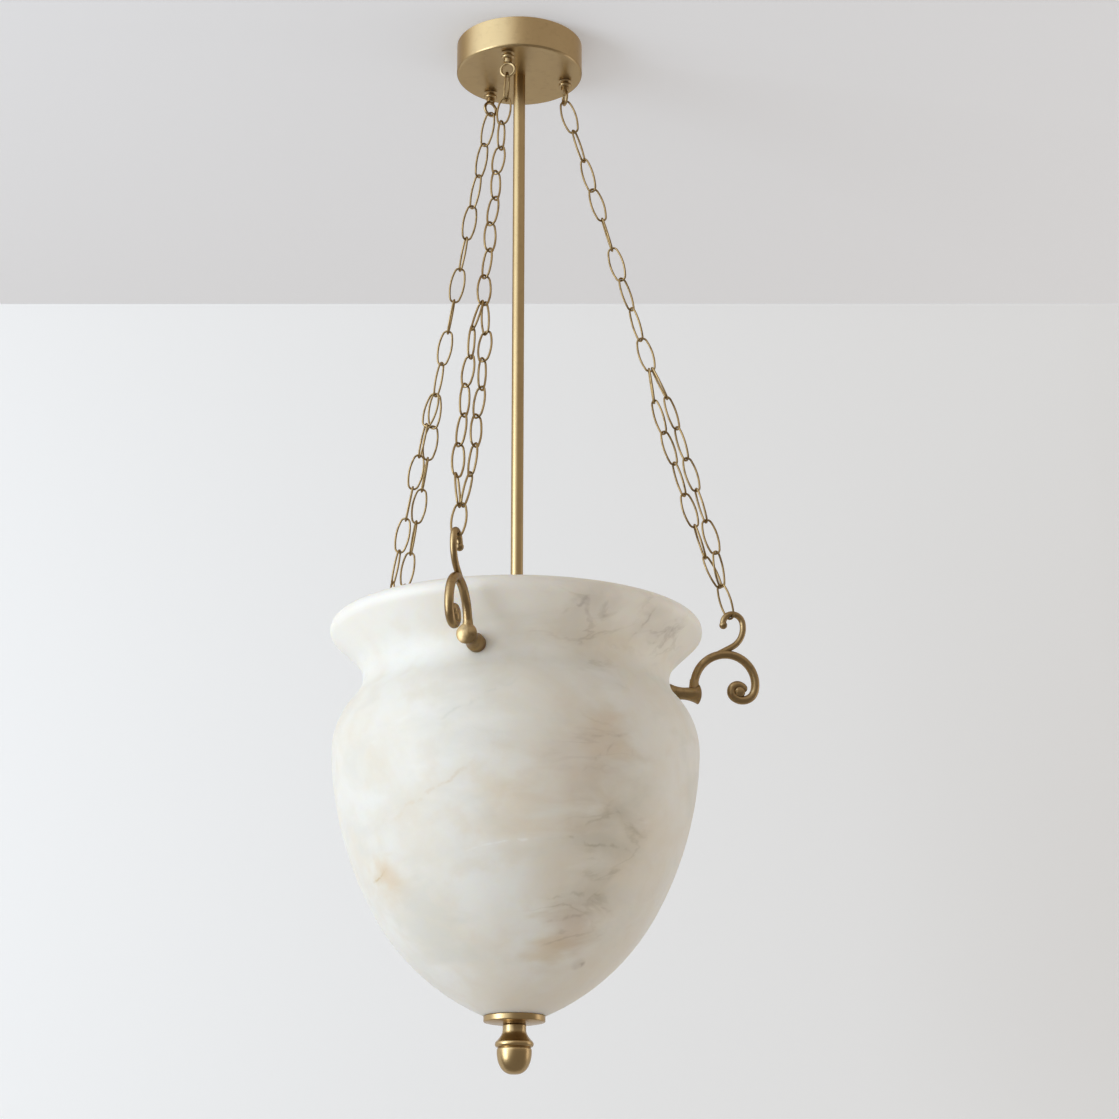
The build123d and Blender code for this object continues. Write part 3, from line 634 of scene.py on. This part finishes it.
def turned(outline):
    """A bmesh turned about Z from (radius, height) points in millimetres that start and end on the axis."""
    shape = bmesh.new()
    points = [shape.verts.new(Vector((radius, 0, height)) * MILLIMETRE) for radius, height in outline]
    lines = [shape.edges.new(pair) for pair in zip(points, points[1:])]
    bmesh.ops.spin(
        shape,
        geom=points + lines,
        cent=(0, 0, 0),
        axis=(0, 0, 1),
        angle=radians(360),
        steps=TURN_STEPS,
        use_merge=True,
    )
    bmesh.ops.remove_doubles(shape, verts=shape.verts, dist=SAME_POINT)
    bmesh.ops.recalc_face_normals(shape, faces=shape.faces)
    return shape


def piece(name, shape, finish, body):
    """The object made from a bmesh: rounded, smooth, dressed and carried by a body."""
    mesh = bpy.data.meshes.new(name)
    shape.to_mesh(mesh)
    shape.free()
    mesh.materials.append(finish.material)
    mesh.shade_smooth()
    made = bpy.data.objects.new(name, mesh)
    scene.collection.objects.link(made)
    rounding = made.modifiers.new("rounding", "SUBSURF")
    rounding.levels = ROUNDING
    rounding.render_levels = ROUNDING
    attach(made, body)
    return made


print("turning ready")

# %% [markdown]
# The acorn's outline is read from the tip upwards: the nut, a thin groove, a rounded collar, a flare like a
# bell and a short neck that meets the disc, and then back down the bore that its rod screws into. It replaces
# the solid of the finial, from the same tip to the same top, because its flare is longer and its nut is
# fuller than the solid's arcs. Every point is a radius and a height above the tip, in millimetres.

# %% Acorn finial
EDGE = 0.3
BORE_CLEARANCE = 0.6
BORE_SPARE = 2.4
finial_low, finial_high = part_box("finial")
rod_low, rod_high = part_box("finial_rod")
acorn_height = (finial_high.z - finial_low.z) / MILLIMETRE
bore_radius = rod_high.x / MILLIMETRE + BORE_CLEARANCE
bore_end = (rod_low.z - finial_low.z) / MILLIMETRE - BORE_SPARE
NUT = ((0, 0), (5.2, 0.1), (10.2, 2.6), (13.6, 7.0), (15.7, 12.5), (16.6, 18.5), (16.6, 23.4))
GROOVE = ((15.4, 23.9), (15.3, 24.4))
COLLAR = ((16.8, 24.8), (18.3, 25.9), (18.4, 28.4), (17.2, 30.3))
FLARE = ((16.1, 30.8), (15.5, 31.9), (13.4, 34.3), (11.5, 37.4))
NECK = ((11.0, 40.8), (11.2, acorn_height - EDGE), (11.2 - EDGE, acorn_height))
BORE = (
    (bore_radius + EDGE, acorn_height),
    (bore_radius, acorn_height - EDGE),
    (bore_radius, bore_end + EDGE),
    (bore_radius - EDGE, bore_end),
    (0, bore_end),
)

shape = turned(NUT + GROOVE + COLLAR + FLARE + NECK + BORE)
bmesh.ops.translate(shape, verts=shape.verts, vec=(0, 0, finial_low.z))
acorn = piece("acorn_finial", shape, polished_brass, "finial")
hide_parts("finial")
print("acorn", round(acorn_height, 1), "mm high")

# %% [markdown]
# Each scroll curls round a small domed eye, which closes its last turn. The eye lies in the plane of its
# hook, and that plane stands at the hook's own angle around the stem.

# %% Scroll eyes
SCROLL_REACH = 0.2281
SCROLL_HEIGHT = -0.6834
HOOK_ANGLES = {"right": 15, "left": 129, "front": 257}
EYE_OUTLINE = ((0, -5.4), (4.2, -5.0), (6.2, -2.4), (6.2, 2.4), (4.2, 5.0), (0, 5.4))

for side, angle in HOOK_ANGLES.items():
    upright = Matrix.Rotation(radians(90), 3, "X")
    around = Matrix.Rotation(radians(angle), 3, "Z")
    shape = turned(EYE_OUTLINE)
    bmesh.ops.rotate(shape, verts=shape.verts, cent=(0, 0, 0), matrix=upright)
    bmesh.ops.translate(shape, verts=shape.verts, vec=(SCROLL_REACH, 0, SCROLL_HEIGHT))
    bmesh.ops.rotate(shape, verts=shape.verts, cent=(0, 0, 0), matrix=around)
    piece(f"scroll_eye_{side}", shape, cast_brass, "bowl")
print("three scroll eyes")
